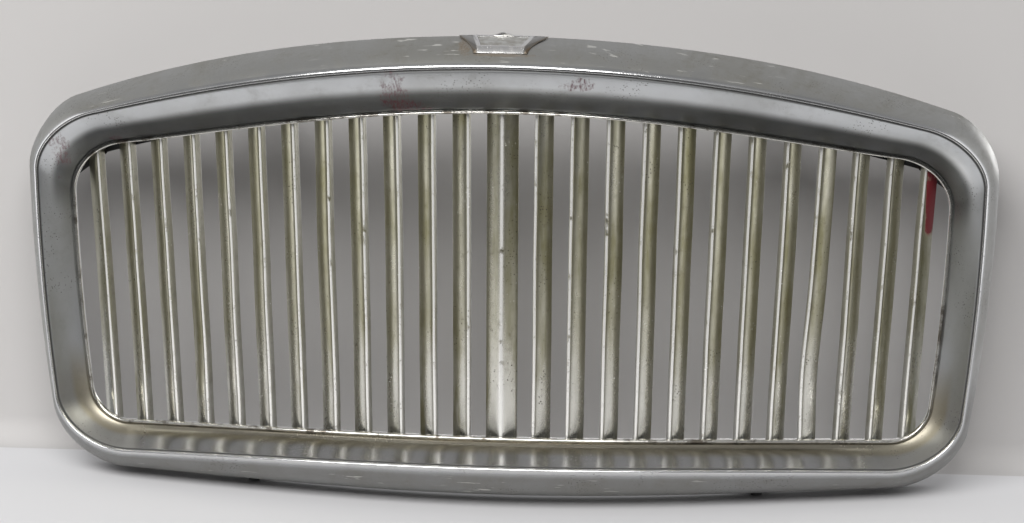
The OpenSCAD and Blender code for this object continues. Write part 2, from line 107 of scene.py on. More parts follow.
class Tree:
    """A shader or geometry node tree that is filled by calls."""

    def __init__(self, tree):
        self.tree = tree

    def feed(self, socket, value):
        if isinstance(value, Value):
            self.tree.links.new(value.socket, socket)
        elif isinstance(value, tuple) and socket.type == "RGBA":
            socket.default_value = (*value, 1.0)[:4]
        else:
            socket.default_value = value

    def add(self, kind, settings=None, inputs=None, output=0):
        """Adds one node: its settings first, then its inputs. Gives back one of its outputs."""
        node = self.tree.nodes.new(kind)
        for name, value in (settings or {}).items():
            setattr(node, name, value)
        for key, value in (inputs or {}).items():
            self.feed(node.inputs[key], value)
        return Value(self, node.outputs[output])

    def math(self, operation, *values):
        return self.add("ShaderNodeMath", {"operation": operation}, dict(enumerate(values)))

    def clamp(self, value):
        return self.add("ShaderNodeClamp", None, {"Value": value})

    def vector(self, operation, *values, output=0):
        return self.add("ShaderNodeVectorMath", {"operation": operation}, dict(enumerate(values)), output)

    def scaled(self, vector, factor):
        return self.add("ShaderNodeVectorMath", {"operation": "SCALE"}, {0: vector, "Scale": factor})

    def mix(self, factor, low, high):
        """Mixes two colours."""
        return self.add("ShaderNodeMix", {"data_type": "RGBA"}, {0: factor, 6: low, 7: high}, 2)

    def between(self, value, low, high):
        """0 below low, 1 above high, eased in the middle."""
        inputs = {"Value": value, "From Min": low, "From Max": high}
        return self.add("ShaderNodeMapRange", {"interpolation_type": "SMOOTHSTEP"}, inputs)

    def xyz(self, x, y, z):
        return self.add("ShaderNodeCombineXYZ", None, {0: x, 1: y, 2: z})

    def parts(self, vector):
        x = self.add("ShaderNodeSeparateXYZ", None, {0: vector})
        return x, x.other("Y"), x.other("Z")

    def noise(self, vector, scale, detail=3.0, rough=0.55, distortion=0.0):
        inputs = {"Vector": vector, "Scale": scale, "Detail": detail, "Roughness": rough}
        inputs["Distortion"] = distortion
        return self.add("ShaderNodeTexNoise", None, inputs)

    def cells(self, vector, scale, output="Distance"):
        return self.add("ShaderNodeTexVoronoi", None, {"Vector": vector, "Scale": scale}, output)


# ---------------------------------------------------------------- the design's rules, in metres
BOW_SLOPE = 0.34
BOW_BLEND = 196 * MM
SET_BACK = 116 * MM
LIP_DEPTH = 27 * MM
COVE_ROLL = 5 * MM
CREASE = 0.9 * MM
LIP_WIDTH = 2.8 * MM
SHEET = 1.2 * MM
ARCH_REACH = 300 * MM
RAIL_FRONT = 40.5 * MM
RAIL_GAP = 0.1 * MM
FIRST_VANE = 21.6 * MM
VANE_PITCH = 24 * MM
VANE_FAN = 0.163
KNOCKED_TURN = math.radians(-9)
UPPER_RAIL = 140 * MM
UPPER_FALL = 50 * MM
LOWER_RAIL = -110 * MM
LOWER_FALL = 10 * MM
VANE_MID = 17.6 * MM
VANES_A_SIDE = 12
KNOCKED_VANE = 9

# outline: top, arch, ease, bottom, foot arch, half width, widening, pinch in millimetres,
# then the corner reach as a share of the half width and half height, top and bottom
RIDGE = (169, 54, 5.3, -112.4, 11.5, 330.3, 7.2, -4.4, 0.128, 0.26, 0.152, 0.343)
OPENING = (132, 56.7, 17.4, -97.9, 10.2, 306.9, 6.2, -2.9, 0.12, 0.33, 0.082, 0.24)
RIM = (183, 51.6, -1.3, -143.9, 1.4, 341.7, 10.6, -6.7, 0.102, 0.281, 0.149, 0.325)


def outline_point(outline, u, v):
    """A point of an outline from its square coordinates, each from -1 to 1."""
    top, arch, ease, bottom, foot_arch, half, widening, pinch = outline[:8]
    x = u * (half + widening * v + pinch * v * v)
    q = (x * MM / ARCH_REACH) ** 2
    s = (v + 1) / 2
    z = (bottom - foot_arch * q) * (1 - s) + (top - arch * q + ease * q * q) * s
    return Vector((x, 0, z)) * MM


def outline_loop(outline, straights=(56, 26, 44), corner=40):
    """The outline all the way round, clockwise from the middle of the top edge."""
    top_u, top_v, foot_u, foot_v = outline[8:]
    top, side, foot = straights
    half = [((1 - top_u) * i / top, 1) for i in range(top)]
    turns = [math.pi / 2 * i / corner for i in range(corner)]
    half += [(1 - top_u + top_u * math.sin(a), 1 - top_v + top_v * math.cos(a)) for a in turns]
    half += [(1, 1 - top_v - (2 - top_v - foot_v) * i / side) for i in range(side)]
    half += [(1 - foot_u + foot_u * math.cos(a), foot_v - 1 - foot_v * math.sin(a)) for a in turns]
    half += [((1 - foot_u) * (1 - i / foot), -1) for i in range(foot + 1)]
    mirrored = [(-u, v) for u, v in half[-2:0:-1]]
    return [outline_point(outline, u, v) for u, v in half + mirrored]


# ---------------------------------------------------------------- mesh helpers
def new_object(name, mesh):
    made = bpy.data.objects.new(name, mesh)
    bpy.context.scene.collection.objects.link(made)
    return made


def plain_mesh(name, points, faces):
    mesh = bpy.data.meshes.new(name)
    mesh.from_pydata(points, [], faces)
    return mesh


def point_mesh(name, points, attributes):
    """Loose points that carry attributes, for a geometry tree to read."""
    mesh = plain_mesh(name, points, [])
    for label, (kind, values) in attributes.items():
        layer = mesh.attributes.new(label, kind, "POINT")
        field = "vector" if kind == "FLOAT_VECTOR" else "value"
        layer.data.foreach_set(field, np.array(values, dtype=float).ravel())
    return mesh


def smooth_profile(points, rounds=2, closed=True):
    """Cuts the corners of a profile, whose rows may hold any linear quantities."""
    rows = np.array(points, dtype=float)
    for _ in range(rounds):
        ahead = np.roll(rows, -1, axis=0)
        pairs = np.stack([rows * 0.75 + ahead * 0.25, rows * 0.25 + ahead * 0.75], axis=1)
        cut = pairs.reshape(-1, rows.shape[1])
        rows = cut if closed else np.vstack([rows[:1], cut[:-2], rows[-1:]])
    return rows


def shade(obj, angle=35):
    """Smooth shading with the real edges kept crisp."""
    obj.data.polygons.foreach_set("use_smooth", [True] * len(obj.data.polygons))
    obj.data.set_sharp_from_angle(angle=math.radians(angle))


def outward(obj):
    """Turns the faces of a closed mesh outwards."""
    work = bmesh.new()
    work.from_mesh(obj.data)
    if work.calc_volume(signed=True) < 0:
        bmesh.ops.reverse_faces(work, faces=work.faces)
    work.to_mesh(obj.data)
    work.free()


def geometry_tree(name, sizes):
    """A geometry node tree with named inputs: (name, socket type, value) each."""
    tree = bpy.data.node_groups.new(name, "GeometryNodeTree")
    tree.interface.new_socket("Geometry", in_out="INPUT", socket_type="NodeSocketGeometry")
    tree.interface.new_socket("Geometry", in_out="OUTPUT", socket_type="NodeSocketGeometry")
    for label, kind, _ in sizes:
        tree.interface.new_socket(label, in_out="INPUT", socket_type="NodeSocket" + kind)
    made = Tree(tree)
    return made, made.add("NodeGroupInput")


def finish_tree(tree, geometry, material):
    """Realises the instances, sets the material and joins the result to the tree's output."""
    real = tree.add("GeometryNodeRealizeInstances", None, {"Geometry": geometry})
    painted = tree.add("GeometryNodeSetMaterial", None, {"Geometry": real, "Material": material})
    end = tree.tree.nodes.new("NodeGroupOutput")
    tree.tree.links.new(painted.socket, end.inputs[0])


def grown(name, mesh, tree, sizes):
    """Runs a geometry tree on a mesh and gives back a plain object of the result."""
    source = new_object(name + "_source", mesh)
    modifier = source.modifiers.new(name, "NODES")
    modifier.node_group = tree.tree
    identifiers = {s.name: s.identifier for s in tree.tree.interface.items_tree if s.in_out == "INPUT"}
    for label, _, value in sizes:
        modifier[identifiers[label]] = value
    bpy.context.view_layer.update()
    result = source.evaluated_get(bpy.context.evaluated_depsgraph_get())
    made = new_object(name, bpy.data.meshes.new_from_object(result))
    source.modifiers.remove(modifier)
    bpy.data.objects.remove(source)
    outward(made)
    return made


blanks = []


def hidden_blank(name, points, faces):
    """A mesh that a geometry tree places many times. It is removed once the trees have run."""
    made = new_object(name, plain_mesh(name, points, faces))
    blanks.append(made)
    return made


def settle(obj, slot, *replaced):
    """Puts a finished piece on the grille and hides the CAD nodes it stands for."""
    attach(obj, "root")
    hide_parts(*replaced)
    return obj


# ---------------------------------------------------------------- materials
def new_material(name):
    material = bpy.data.materials.new(name)
    material.use_nodes = True
    tree = Tree(material.node_tree)
    shader = material.node_tree.nodes["Principled BSDF"]
    return material, tree, shader


def place(tree):
    return tree.add("ShaderNodeTexCoord", output="Object")


def spot(tree, vector, centre, reach, ragged=0.35, scale=60.0):
    """1 at a mark's centre, 0 past its reach, with a ragged edge. Sizes are in millimetres."""
    offset = tree.vector("SUBTRACT", vector, tuple(c * MM for c in centre))
    squeezed = tree.vector("DIVIDE", offset, tuple(r * MM for r in reach))
    distance = tree.vector("LENGTH", squeezed, output="Value")
    edge = tree.noise(vector, scale, 5.0, 0.65)
    return tree.clamp((1.15 - distance + (edge - 0.5) * (ragged * 6)) * 2.2)


def bump(tree, height, distance, strength, over=None):
    """Relief in the surface, on top of another bump where one is given."""
    inputs = {"Height": height, "Distance": distance, "Strength": strength}
    if over is not None:
        inputs["Normal"] = over
    return tree.add("ShaderNodeBump", None, inputs, "Normal")


def surround_metal():
    material, tree, shader = new_material("bright_surround_metal")
    here = place(tree)
    turn, zone, _ = tree.parts(tree.add("ShaderNodeUVMap", {"uv_map": "profile"}))
    angle = turn * (2 * math.pi)
    ring = tree.xyz(tree.math("COSINE", angle) * 0.3, tree.math("SINE", angle) * 0.3, zone * 0.02)
    x, y, z = tree.parts(here)
    on_return = tree.between(zone, -0.08, -0.26)
    on_cove = tree.between(zone, 0.04, 0.12) * tree.between(zone, 1.04, 1.0)
    on_top = tree.between(z, 60 * MM, 95 * MM)
    low = tree.between(z, -45 * MM, -88 * MM)
    straight = tree.between(tree.math("ABSOLUTE", x), 300 * MM, 240 * MM)
    cloud = tree.noise(here, 11.0, 6.0, 0.6)
    fine = tree.noise(here, 420.0, 4.0, 0.7)
    dust = tree.noise(here, 60.0, 8.0, 0.72)
    wiped = tree.noise(ring, 24.0, 6.0, 0.68, 0.4)

    # light scratches run along the return, crossed by a few slanting ones
    grooves = tree.vector("MULTIPLY", ring, (1.0, 1.0, 14.0))
    scratch = tree.noise(grooves, 52.0, 3.0, 0.5)
    scuff = tree.between(scratch, 0.64, 0.7) * tree.between(cloud, 0.45, 0.6) * on_return

    slant = tree.noise(tree.xyz(x * 0.25 + z * 0.1, y * 0.3, z * 1.4 + x * 0.33), 210.0, 3.0, 0.5)
    scored = tree.between(slant, 0.63, 0.67) * tree.between(x, 28 * MM, 60 * MM)
    scored = scored * tree.between(x, 150 * MM, 110 * MM)
    scuff = tree.clamp(scuff + scored * on_return * on_top)

    # pits gathered in patches
    pit_cells = tree.cells(here, 520.0)
    pit_field = tree.noise(here, 26.0, 4.0, 0.6)
    pits = tree.between(pit_cells, 0.28, 0.13) * tree.between(pit_field, 0.52, 0.62)

    shadowed = tree.between(zone, 0.38, 0.62) * tree.between(z, 40 * MM, 90 * MM)
    shadowed = tree.clamp(shadowed * (0.85 + (cloud - 0.5) * 0.6)) * on_cove
    crease = tree.between(zone, 0.025, 0.045) * tree.between(zone, 0.12, 0.09)
    on_lip = tree.between(zone, 1.05, 1.15) * tree.between(zone, 2.15, 2.05)
    grime_and_painted_shade = tree.clamp(tree.between(cloud, 0.4, 0.66) * 0.45 + tree.between(dust, 0.5, 0.72) * 0.35)
    return_grime = tree.clamp(grime_and_painted_shade + tree.between(wiped, 0.42, 0.62) * 0.4)
    amount = tree.clamp(grime_and_painted_shade * (0.35 + on_cove * 0.2) + return_grime * on_return * (0.45 + on_top * 0.3))

    # lower down, the return is painted darker, a painted shade on the underside
    steel = tree.mix(on_return, (0.48, 0.49, 0.495), tree.mix(low, (0.44, 0.44, 0.425), (0.30, 0.30, 0.295)))
    # the cove along the top is painted lighter, a painted reflection of the pale floor in front
    steel = tree.mix(on_top * on_cove, steel, (0.68, 0.695, 0.705))
    # the rolled crest is painted light, a painted highlight along the ridge
    ridge_highlight = tree.between(zone, -0.16, -0.02) * tree.between(zone, 0.06, 0.02)
    steel = tree.mix(ridge_highlight, steel, (0.78, 0.78, 0.78))
    # lower down, the cove is made darker, and browner across its middle
    steel = tree.mix(low * on_cove * 0.8, steel, (0.34, 0.335, 0.33))
    steel = tree.mix(low * tree.between(zone, 0.4, 0.6) * on_cove * 0.8, steel, (0.33, 0.295, 0.215))
    steel = tree.mix(shadowed * 0.95, steel, (0.05, 0.052, 0.053))
    colour = tree.mix(amount, steel, (0.215, 0.205, 0.175))
    colour = tree.mix(shadowed * 0.55, colour, (0.05, 0.052, 0.053))
    colour = tree.mix(scuff * 0.7, colour, (0.86, 0.85, 0.80))
    # the lip is painted near white, a painted highlight, with dark dust spots on it
    lip_highlight_and_dust = tree.mix(tree.between(dust, 0.5, 0.62), (0.80, 0.78, 0.72), (0.16, 0.13, 0.09))
    colour = tree.mix(on_lip * 0.8, colour, lip_highlight_and_dust)
    colour = tree.mix(crease * 0.85, colour, (0.03, 0.028, 0.025))
    colour = tree.mix(pits * 0.8, colour, (0.07, 0.06, 0.055))

    red = (
        spot(tree, here, (-72, -95, 147), (8, 60, 14), 0.6, 140.0) * 0.65,
        spot(tree, here, (-66, -95, 137), (13, 60, 5), 0.5, 160.0),
        spot(tree, here, (53, -100, 157), (11, 60, 4.5), 0.7, 160.0) * 0.8,
        spot(tree, here, (-316, -70, 92), (6, 60, 15), 0.8, 150.0) * 0.6,
        spot(tree, here, (-276, -70, 101), (5, 60, 3), 0.5, 150.0) * 0.7,
    )
    broken = tree.between(tree.noise(tree.xyz(x * 3.0, y, z * 0.7), 260.0, 5.0, 0.75), 0.42, 0.6)
    for mark in red:
        colour = tree.mix(tree.clamp(mark * broken), colour, (0.135, 0.045, 0.055))
    rust = tree.clamp(spot(tree, here, (-25, -90, 180), (5, 20, 9), 0.35, 160.0) * (0.3 + broken * 0.4))
    rust = tree.clamp(rust + spot(tree, here, (2, -107, 177), (22, 2.5, 4), 0.3, 190.0) * 0.5)
    colour = tree.mix(rust, colour, (0.17, 0.12, 0.07))
    tree.feed(shader.inputs["Base Color"], colour)

    dirt = tree.clamp(amount * 0.7 + pits * 0.8 + rust * 0.8 + crease)
    rough = 0.2 + on_return * 0.2 + on_cove * (0.12 + low * (0.12 - straight * 0.24))
    rough = rough + dirt * 0.22 + (dust - 0.5) * 0.12
    tree.feed(shader.inputs["Roughness"], tree.clamp(rough))
    tree.feed(shader.inputs["Metallic"], tree.clamp(1.0 - dirt * 0.45))
    waves = tree.noise(here, 16.0, 2.0, 0.4) * 0.6 + cloud * 0.2
    surface = bump(tree, waves, 0.6 * MM, 0.35)
    relief = fine * 0.35 - pits * 1.6 - scuff * 0.4
    tree.feed(shader.inputs["Normal"], bump(tree, relief, 0.06 * MM, 0.6, surface))
    return material


def vane_metal():
    material, tree, shader = new_material("tarnished_vane_metal")
    here = place(tree)
    x, y, z = tree.parts(here)
    strip = tree.xyz(x * 3.0, y * 1.0, z * 0.35)
    cloud = tree.noise(here, 14.0, 6.0, 0.62)
    runs = tree.noise(strip, 26.0, 6.0, 0.65)
    dust = tree.noise(here, 90.0, 7.0, 0.74)
    pit_cells = tree.cells(here, 430.0)
    pit_field = tree.noise(here, 30.0, 4.0, 0.62)
    pits = tree.between(pit_cells, 0.27, 0.13) * tree.between(pit_field, 0.53, 0.63)
    speck_field = tree.noise(here, 48.0, 4.0, 0.6)
    specks = tree.between(tree.cells(here, 300.0), 0.2, 0.1) * tree.between(speck_field, 0.56, 0.66)
    tarnish = tree.clamp(tree.between(runs, 0.38, 0.64) * 0.65 + tree.between(cloud, 0.42, 0.66) * 0.45)
    colour = tree.mix(tarnish, (0.66, 0.64, 0.53), (0.36, 0.34, 0.205))
    # across each section, the inner side, crease and rear edges are painted darker as painted shade, and the
    # front is painted bright as a painted highlight
    shade_and_highlight = tree.add("ShaderNodeAttribute", {"attribute_name": "dirt"}, None, "Fac")
    grime_and_painted_shade = tree.clamp(shade_and_highlight * (0.75 + dust * 0.5))
    nose = tree.clamp(0.0 - shade_and_highlight) * tree.between(dust, 0.68, 0.56)
    # streaks towards the foot of each vane are painted bright too, a painted highlight
    painted_highlight = tree.between(z + (runs - 0.5) * 60 * MM, -15 * MM, -80 * MM) * tree.between(runs, 0.66, 0.5)
    painted_highlight = tree.clamp(painted_highlight * 0.62 + nose)
    colour = tree.mix(tree.between(dust, 0.55, 0.74) * 0.6, colour, (0.235, 0.205, 0.135))
    colour = tree.mix(painted_highlight, colour, (0.93, 0.92, 0.88))
    colour = tree.mix(grime_and_painted_shade * 0.85, colour, (0.10, 0.09, 0.06))
    colour = tree.mix(pits * 0.85, colour, (0.05, 0.042, 0.03))
    colour = tree.mix(specks * 0.7, colour, (0.82, 0.81, 0.77))
    paint = spot(tree, here, (297, -28, 66), (6, 20, 26), 0.3, 90.0) * tree.between(z, 38 * MM, 44 * MM)
    paint = tree.clamp(paint * tree.between(x, 292.5 * MM, 294 * MM) * 1.4)
    colour = tree.mix(paint, colour, (0.17, 0.013, 0.018))
    tree.feed(shader.inputs["Base Color"], colour)
    dirt = tree.clamp(tarnish * 0.35 + pits + specks * 0.8 + paint + grime_and_painted_shade * 0.6)
    tree.feed(shader.inputs["Roughness"], tree.clamp(0.26 + dirt * 0.25 + (dust - 0.5) * 0.2 - painted_highlight * 0.1))
    # where the front carries its painted highlight it is made less metallic, so that it reads white
    bare = 1.0 - paint - specks * 0.6 - pits * 0.5 - nose * 0.55 - grime_and_painted_shade * 0.25
    tree.feed(shader.inputs["Metallic"], tree.clamp(bare))
    waves = bump(tree, tree.noise(here, 40.0, 2.0, 0.5), 0.4 * MM, 0.35)
    relief = dust * 0.4 - pits * 1.8 + specks * 0.5
    tree.feed(shader.inputs["Normal"], bump(tree, relief, 0.06 * MM, 0.7, waves))
    return material


def black_paint():
    material, tree, shader = new_material("chipped_black_paint")
    here = place(tree)
    grain = tree.noise(here, 700.0, 3.0, 0.6)
    chips = tree.between(tree.noise(here, 75.0, 7.0, 0.72), 0.66, 0.7)
    dust = tree.between(tree.noise(here, 18.0, 6.0, 0.6), 0.4, 0.75)
    colour = tree.mix(dust * 0.5, (0.012, 0.012, 0.013), (0.06, 0.055, 0.05))
    colour = tree.mix(chips, colour, (0.16, 0.085, 0.05))
    tree.feed(shader.inputs["Base Color"], colour)
    tree.feed(shader.inputs["Roughness"], tree.clamp(0.42 + dust * 0.2 + chips * 0.3))
    tree.feed(shader.inputs["Normal"], bump(tree, grain * 0.5 - chips, 0.08 * MM, 0.6))
    return material


def plated_steel():
    material, tree, shader = new_material("dull_plated_steel")
    here = place(tree)
    cloud = tree.noise(here, 160.0, 6.0, 0.65)
    spots = tree.between(tree.noise(here, 320.0, 5.0, 0.7), 0.6, 0.68)
    colour = tree.mix(tree.between(cloud, 0.35, 0.7), (0.58, 0.55, 0.47), (0.34, 0.30, 0.21))
    colour = tree.mix(spots, colour, (0.22, 0.11, 0.05))
    tree.feed(shader.inputs["Base Color"], colour)
    tree.feed(shader.inputs["Metallic"], 1.0 - spots * 0.7)
    tree.feed(shader.inputs["Roughness"], tree.clamp(0.3 + cloud * 0.2 + spots * 0.3))
    tree.feed(shader.inputs["Normal"], bump(tree, cloud - spots * 0.5, 0.05 * MM, 0.5))
    return material


def badge_metal():
    material, tree, shader = new_material("worn_badge_metal")
    here = place(tree)
    x, y, z = tree.parts(here)
    cloud = tree.noise(here, 90.0, 6.0, 0.65)
    pits = tree.between(tree.noise(here, 420.0, 4.0, 0.7), 0.62, 0.68)
    outline = tree.between(tree.math("ABSOLUTE", x) - (y + 106 * MM) * 0.4, 15.2 * MM, 17.2 * MM)
    foot = tree.between(z, 177.4 * MM, 176.2 * MM)
    flanks = tree.between(tree.math("ABSOLUTE", x) - (y + 103 * MM) * 0.177, 15.6 * MM, 16.6 * MM)
    edges = tree.clamp(outline + foot) * (0.45 + cloud * 0.5)
    stain = tree.clamp(tree.between(cloud, 0.5, 0.66) * 0.4 + edges)
    # the front faces are painted bright and the flanks dark: a painted highlight and a painted shade on one
    # metal
    plating_lit_and_shaded = tree.mix(flanks, (0.86, 0.85, 0.83), (0.24, 0.23, 0.21))
    colour = tree.mix(stain, plating_lit_and_shaded, (0.12, 0.085, 0.05))
    colour = tree.mix(pits, colour, (0.1, 0.08, 0.06))
    tree.feed(shader.inputs["Base Color"], colour)
    tree.feed(shader.inputs["Metallic"], tree.clamp(1.0 - stain * 0.5 - pits * 0.5))
    tree.feed(shader.inputs["Roughness"], tree.clamp(0.16 + stain * 0.3 + pits * 0.3))
    tree.feed(shader.inputs["Normal"], bump(tree, cloud * 0.4 - pits, 0.08 * MM, 0.6))
    return material


def panel_paint():
    material, tree, shader = new_material("faded_badge_panel")
    here = place(tree)
    cloud = tree.noise(here, 150.0, 6.0, 0.65)
    colour = tree.mix(tree.between(cloud, 0.35, 0.7), (0.40, 0.40, 0.385), (0.22, 0.205, 0.18))
    tree.feed(shader.inputs["Base Color"], colour)
    tree.feed(shader.inputs["Roughness"], tree.clamp(0.35 + cloud * 0.3))
    tree.feed(shader.inputs["Metallic"], tree.clamp(0.5 - cloud * 0.3))
    tree.feed(shader.inputs["Normal"], bump(tree, cloud, 0.1 * MM, 0.5))
    return material


metal_of_surround = surround_metal()
metal_of_vanes = vane_metal()
paint_black = black_paint()
steel_plated = plated_steel()
metal_of_badge = badge_metal()
paint_of_panel = panel_paint()


# ---------------------------------------------------------------- camera
def set_camera():
    """A 100 mm lens, two metres off, a little to the right and above."""
    azimuth = math.radians(4.2305)
    elevation = math.radians(13.488)
    roll = math.radians(0.3515)
    target = Vector((9.628, -116.0, 35.703)) * MM
    distance = 1.94198
    back = Vector((
        math.sin(azimuth) * math.cos(elevation),
        -math.cos(azimuth) * math.cos(elevation),
        math.sin(elevation),
    ))
    right = (-back).cross(Vector((0, 0, 1))).normalized()
    up = right.cross(-back)
    side = right * math.cos(roll) + up * math.sin(roll)
    top = up * math.cos(roll) - right * math.sin(roll)
    camera = bpy.data.objects.new("camera", bpy.data.cameras.new("camera"))
    camera.data.sensor_width = 36.0
    camera.data.lens = 100.45
    camera.data.clip_start = 0.05
    camera.data.clip_end = 50.0
    turn = Matrix((side, top, back)).transposed().to_4x4()
    camera.matrix_world = Matrix.Translation(target + back * distance) @ turn
    bpy.context.scene.collection.objects.link(camera)
    bpy.context.scene.camera = camera


set_camera()


# ---------------------------------------------------------------- surround
def surround_section():
    """Profile rows: share of rim, ridge and opening, push outwards, depth, zone and roll.

    The zone runs from -1 at the rear rim to 0 on the ridge, 1 at the cove's foot and 2 on the lip.
    The roll is how much of the cove's swell or hollow a row takes.
    """
    rows = []

    def on_return(share, depth, inward=0.0, zone=None):
        rows.append((share, 1 - share, 0, -inward, depth, -share if zone is None else zone, 0))

    def on_cove(g, behind, zone):
        rows.append((0, 1 - g, g, g * LIP_WIDTH, LIP_DEPTH * g + behind, zone, 4 * g * (1 - g)))

    def on_lip(share, depth, zone):
        rows.append((0, 0, 1, share * LIP_WIDTH, LIP_DEPTH + depth, zone, 0))

    for share, depth in ((1, 45), (1, 44.4), (0.9, 30), (0.78, 20), (0.66, 14), (0.48, 8), (0.3, 4)):
        on_return(share, depth * MM)
    for share, depth in ((0.2, 2.2), (0.13, 1.1), (0.07, 0.35), (0.02, 0.02)):
        on_return(share, depth * MM)
    coves = [0.16, 0.24, 0.32, 0.4, 0.48, 0.56, 0.64, 0.72, 0.8, 0.88, 0.96]
    on_cove(0.012, -0.06 * MM, 0.0)
    on_cove(0.035, -0.26 * MM, 0.02)
    on_cove(0.05, CREASE, 0.05)
    on_cove(0.07, CREASE, 0.08)
    on_cove(0.085, 0.0, 0.1)
    for g in coves:
        on_cove(g, 0.0, g)
    on_cove(1, 1.2 * MM, 1.0)
    for share, depth in ((0.9, 0.1), (0.7, -0.8), (0.4, -1.0), (0.12, -0.5), (0, 0.6)):
        on_lip(share, depth * MM, 1.9 - share * 0.6)
    on_lip(0, 3.3 * MM, 2.1)
    on_lip(0.06, 3.5 * MM, 2.2)
    on_lip(0.4, 3.5 * MM, 2.4)
    on_cove(1, 2.9 * MM, 2.6)
    for g in coves[-2:1:-2]:
        on_cove(g, 1.5 * SHEET, 3.0 - g * 0.3)
    on_return(0.02, 2.6 * MM, 0, 3.0)
    for share, depth in ((0.3, 4.9), (0.48, 8.6), (0.66, 14.3), (0.78, 20.1), (0.9, 30), (1, 44.4), (1, 45)):
        on_return(share, depth * MM, SHEET, 3.0 + share)
    return smooth_profile(rows)


def surround_tree(sizes):
    """Sweeps the section round the three outlines and bows it in plan."""
    tree, given = geometry_tree("surround_sweep", sizes)
    stations = given.other("Stations")
    entries = given.other("Section points")
    columns = entries + 1
    inputs = {"Size X": 1.0, "Size Y": 1.0, "Vertices X": stations + 1, "Vertices Y": columns}
    grid = tree.add("GeometryNodeMeshGrid", None, inputs)
    index = tree.add("GeometryNodeInputIndex")
    row = tree.math("FLOOR", (index + 0.5) / columns)
    column = index - row * columns
    station = tree.math("FLOORED_MODULO", row + 0.01, stations)
    entry = tree.math("FLOORED_MODULO", column + 0.01, entries)
    section = tree.add("GeometryNodeObjectInfo", None, {"Object": given.other("Section")}, "Geometry")

    def read(geometry, label, kind, at):
        field = tree.add("GeometryNodeInputNamedAttribute", {"data_type": kind}, {"Name": label})
        settings = {"data_type": kind, "domain": "POINT"}
        inputs = {"Geometry": geometry, "Value": field, "Index": at}
        return tree.add("GeometryNodeSampleIndex", settings, inputs)

    outline = given.other("Geometry")
    rim = read(outline, "rim", "FLOAT_VECTOR", station)
    ridge = read(outline, "ridge", "FLOAT_VECTOR", station)
    opening = read(outline, "opening", "FLOAT_VECTOR", station)
    to_rim, to_ridge, to_opening = tree.parts(read(section, "shares", "FLOAT_VECTOR", entry))
    push = read(section, "push", "FLOAT", entry)
    depth = read(section, "depth", "FLOAT", entry)
    rolling = read(section, "roll", "FLOAT", entry) * given.other("Cove roll")
    outwards = tree.vector("NORMALIZE", tree.vector("SUBTRACT", rim, opening))
    flat = tree.vector("ADD", tree.scaled(rim, to_rim), tree.scaled(ridge, to_ridge))
    flat = tree.vector("ADD", flat, tree.scaled(opening, to_opening))
    flat = tree.vector("ADD", flat, tree.scaled(outwards, push))
    x, _, z = tree.parts(flat)
    _, _, ridge_height = tree.parts(ridge)
    depth = depth + rolling * (given.other("Mid height") - ridge_height) / given.other("Half height")
    blend = given.other("Bow blend")
    bowed = given.other("Bow slope") * (tree.math("SQRT", x * x + blend * blend) - blend)
    spot_there = tree.xyz(x, depth + bowed - given.other("Set back"), z)
    swept = tree.add("GeometryNodeSetPosition", None, {"Geometry": grid, "Position": spot_there})

    around = read(outline, "around", "FLOAT", station) + tree.math("GREATER_THAN", row, stations - 0.5)
    zone = read(section, "zone", "FLOAT", entry)
    settings = {"data_type": "FLOAT_VECTOR", "domain": "POINT"}
    at_points = tree.add("GeometryNodeFieldOnDomain", settings, {0: tree.xyz(around, zone, 0.0)})
    settings = {"data_type": "FLOAT2", "domain": "CORNER"}
    inputs = {"Geometry": swept, "Name": "profile", "Value": at_points}
    mapped = tree.add("GeometryNodeStoreNamedAttribute", settings, inputs)
    closed = tree.add("GeometryNodeMergeByDistance", None, {"Geometry": mapped, "Distance": 0.002 * MM})
    finish_tree(tree, closed, given.other("Metal"))
    return tree


def make_surround():
    loops = {name: outline_loop(o) for name, o in (("rim", RIM), ("ridge", RIDGE), ("opening", OPENING))}
    ridge = loops["ridge"]
    steps = [(b - a).length for a, b in zip(ridge, ridge[1:] + ridge[:1])]
    around = [sum(steps[:i]) / sum(steps) for i in range(len(steps))]
    attributes = {name: ("FLOAT_VECTOR", loop) for name, loop in loops.items()}
    attributes["around"] = ("FLOAT", around)
    outline = point_mesh("surround_outline", ridge, attributes)
    rows = surround_section()
    entries = {
        "shares": ("FLOAT_VECTOR", rows[:, :3]),
        "push": ("FLOAT", rows[:, 3]),
        "depth": ("FLOAT", rows[:, 4]),
        "zone": ("FLOAT", rows[:, 5]),
        "roll": ("FLOAT", rows[:, 6]),
    }
    section = new_object("surround_section", point_mesh("surround_section", [(0, 0, 0)] * len(rows), entries))
    blanks.append(section)
    sizes = [
        ("Section", "Object", section),
        ("Stations", "Int", len(ridge)),
        ("Section points", "Int", len(rows)),
        ("Mid height", "Float", (RIDGE[0] + RIDGE[3]) / 2 * MM),
        ("Half height", "Float", (RIDGE[0] - RIDGE[3]) / 2 * MM),
        ("Cove roll", "Float", COVE_ROLL),
        ("Bow slope", "Float", BOW_SLOPE),
        ("Bow blend", "Float", BOW_BLEND),
        ("Set back", "Float", SET_BACK),
        ("Metal", "Material", metal_of_surround),
    ]
    surround = grown("surround", outline, surround_tree(sizes), sizes)
    shade(surround, 50)
    return settle(surround, "surround_metal", "surround_shell")


make_surround()


